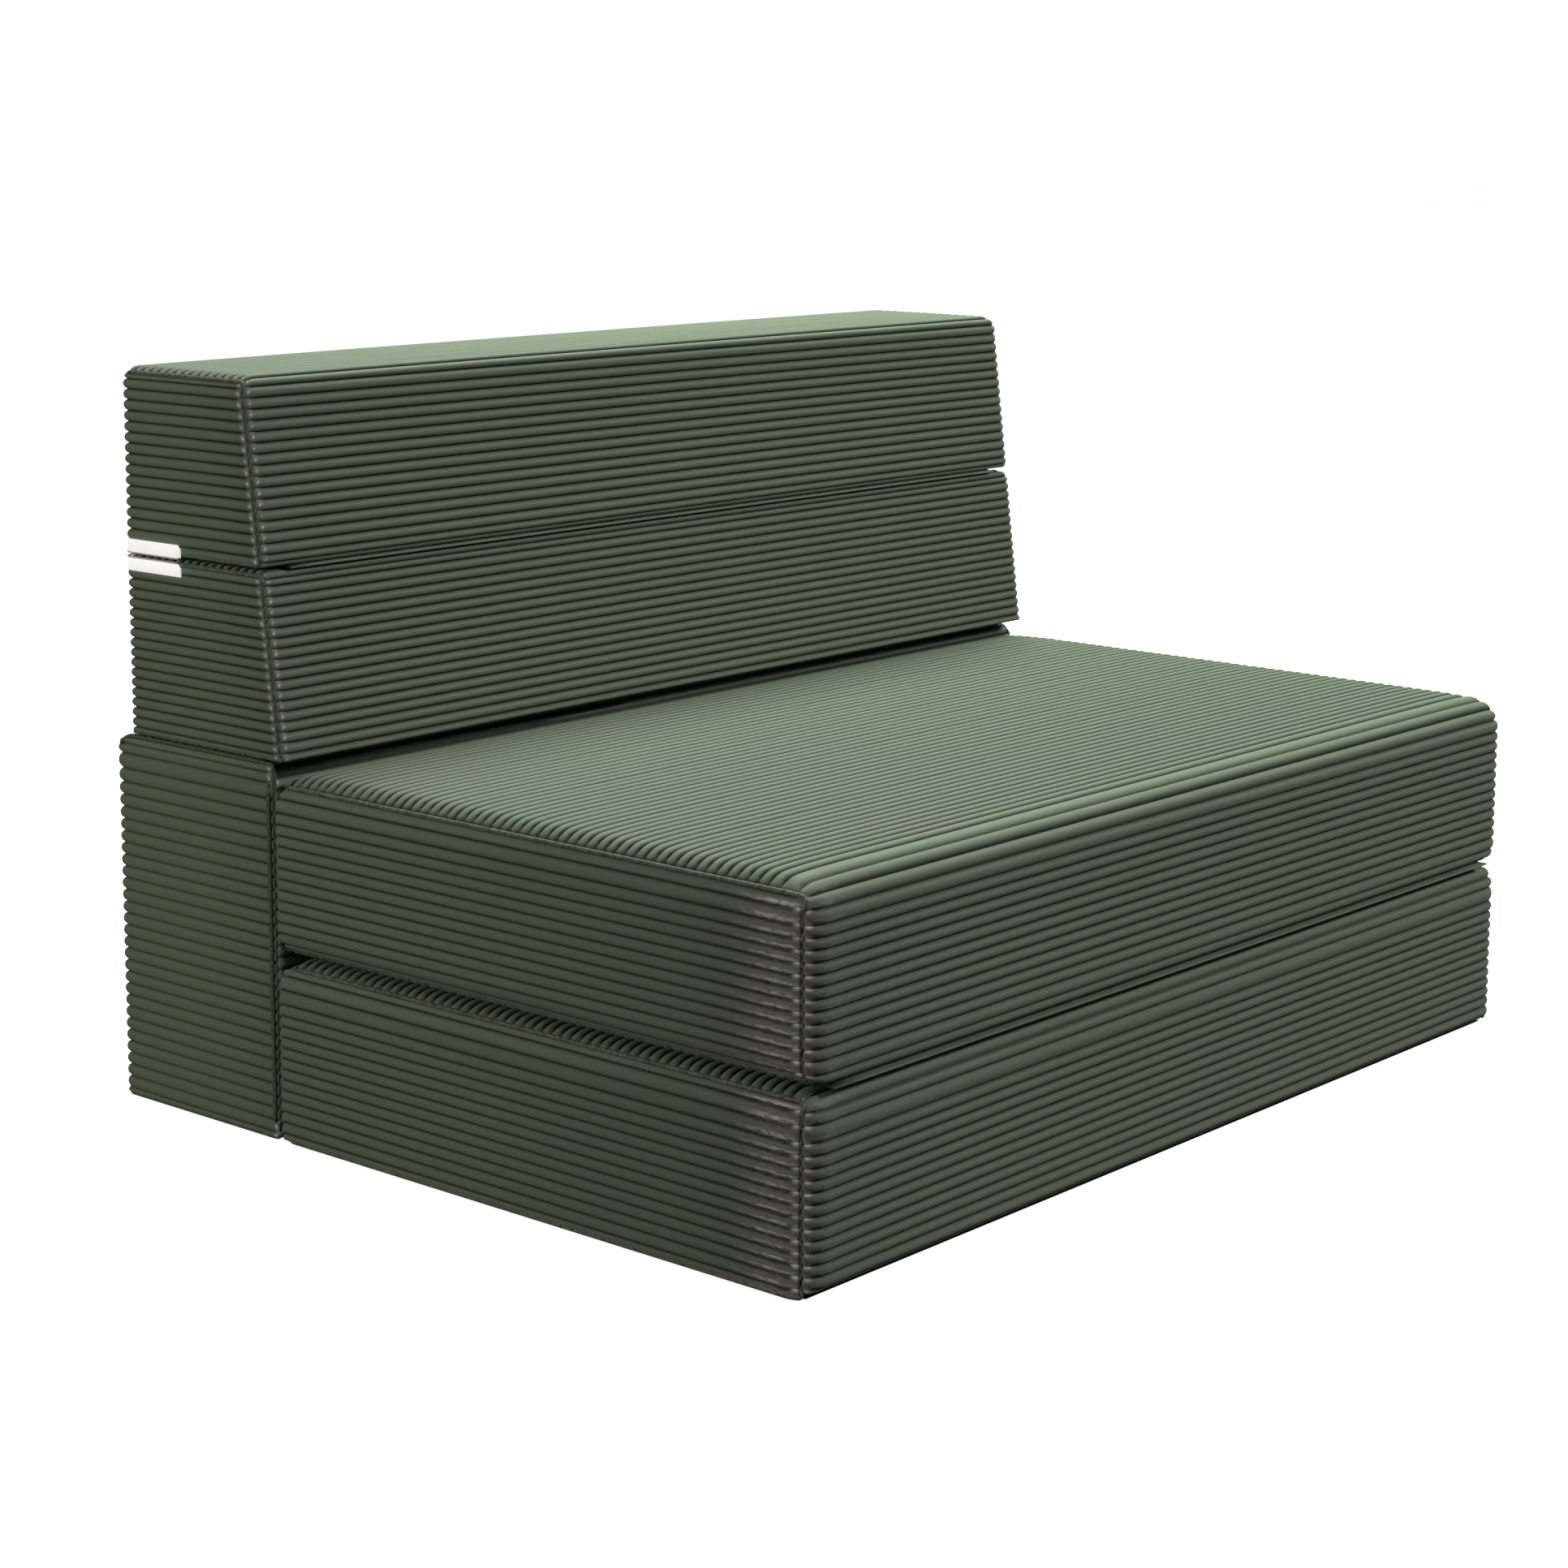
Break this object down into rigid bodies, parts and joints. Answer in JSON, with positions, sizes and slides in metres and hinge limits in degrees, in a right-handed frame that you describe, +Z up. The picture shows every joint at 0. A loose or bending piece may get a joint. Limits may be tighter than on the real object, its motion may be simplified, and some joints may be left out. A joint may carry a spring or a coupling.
{
  "type": "folding sofa bed",
  "caption": "Floor-standing foam sofa bed in ribbed fabric: a seat that unfolds forwards, a tall rear base and a leaning back that folds down.",
  "frame": {"origin": "middle of the footprint on the floor", "axes": "+X along the width, to the right seen from the front; +Y to the rear; +Z up"},
  "size_m": [0.996, 0.7718, 0.6303],
  "materials": {
    "corduroy": "deep green wide-wale corduroy, soft sheen along the ribs",
    "hinge_cloth": "plain woven dark green cloth",
    "liner_cloth": "thin off-white knit",
    "foam": "open-cell cream foam",
    "floor_sheet": "matt black non-slip sheet with raised dots",
    "zip_tape": "white woven zip tape",
    "zip_coil": "white nylon coil",
    "zip_metal": "bright plated zinc"
  },
  "bodies": {
    "base": {"seat_base_cover": "corduroy", "seat_base_end_left": "corduroy", "seat_base_end_right": "corduroy", "seat_base_liner": "liner_cloth", "seat_base_foam": "foam", "seat_base_floor_sheet": "floor_sheet", "rear_base_cover": "corduroy", "rear_base_end_left": "corduroy", "rear_base_end_right": "corduroy", "rear_base_liner": "liner_cloth", "rear_base_foam": "foam", "rear_base_floor_sheet": "floor_sheet", "rear_base_piping": "corduroy", "back_lower_cover": "corduroy", "back_lower_end_left": "corduroy", "back_lower_end_right": "corduroy", "back_lower_liner": "liner_cloth", "back_lower_foam": "foam", "seat_hinge_lower_leaf": "hinge_cloth", "back_hinge_lower_leaf": "hinge_cloth", "seat_joining_strip": "hinge_cloth", "back_joining_strip": "hinge_cloth", "lower_zip_tape": "zip_tape", "lower_zip_coil": "zip_coil"},
    "seat_top": {"seat_top_cover": "corduroy", "seat_top_end_left": "corduroy", "seat_top_end_right": "corduroy", "seat_top_liner": "liner_cloth", "seat_top_foam": "foam", "seat_hinge_upper_leaf": "hinge_cloth"},
    "back_upper": {"back_upper_cover": "corduroy", "back_upper_end_left": "corduroy", "back_upper_end_right": "corduroy", "back_upper_liner": "liner_cloth", "back_upper_foam": "foam", "back_hinge_upper_leaf": "hinge_cloth", "upper_zip_tape": "zip_tape", "upper_zip_coil": "zip_coil"},
    "slider": {"zip_slider": "zip_metal"},
    "pull": {"zip_pull": "zip_metal"}
  },
  "joints": [
    {"name": "seat_fold", "type": "hinge", "parent": "base", "child": "seat_top", "pos_m": [0, -0.3861, 0.1555], "axis": [1, 0, 0], "range_deg": [0, 180]},
    {"name": "upper_back_fold", "type": "hinge", "parent": "base", "child": "back_upper", "pos_m": [0, 0.18864, 0.4734], "axis": [1, 0, 0], "range_deg": [0, 180]},
    {"name": "zip_slide", "type": "slide", "parent": "base", "child": "slider", "axis": [-1, 0, 0], "range_m": [0, 0.936]},
    {"name": "zip_pull_swing", "type": "hinge", "parent": "slider", "child": "pull", "pos_m": [0.468, 0.3709, 0.4682], "axis": [1, 0, 0], "range_deg": [0, 160]}
  ]
}
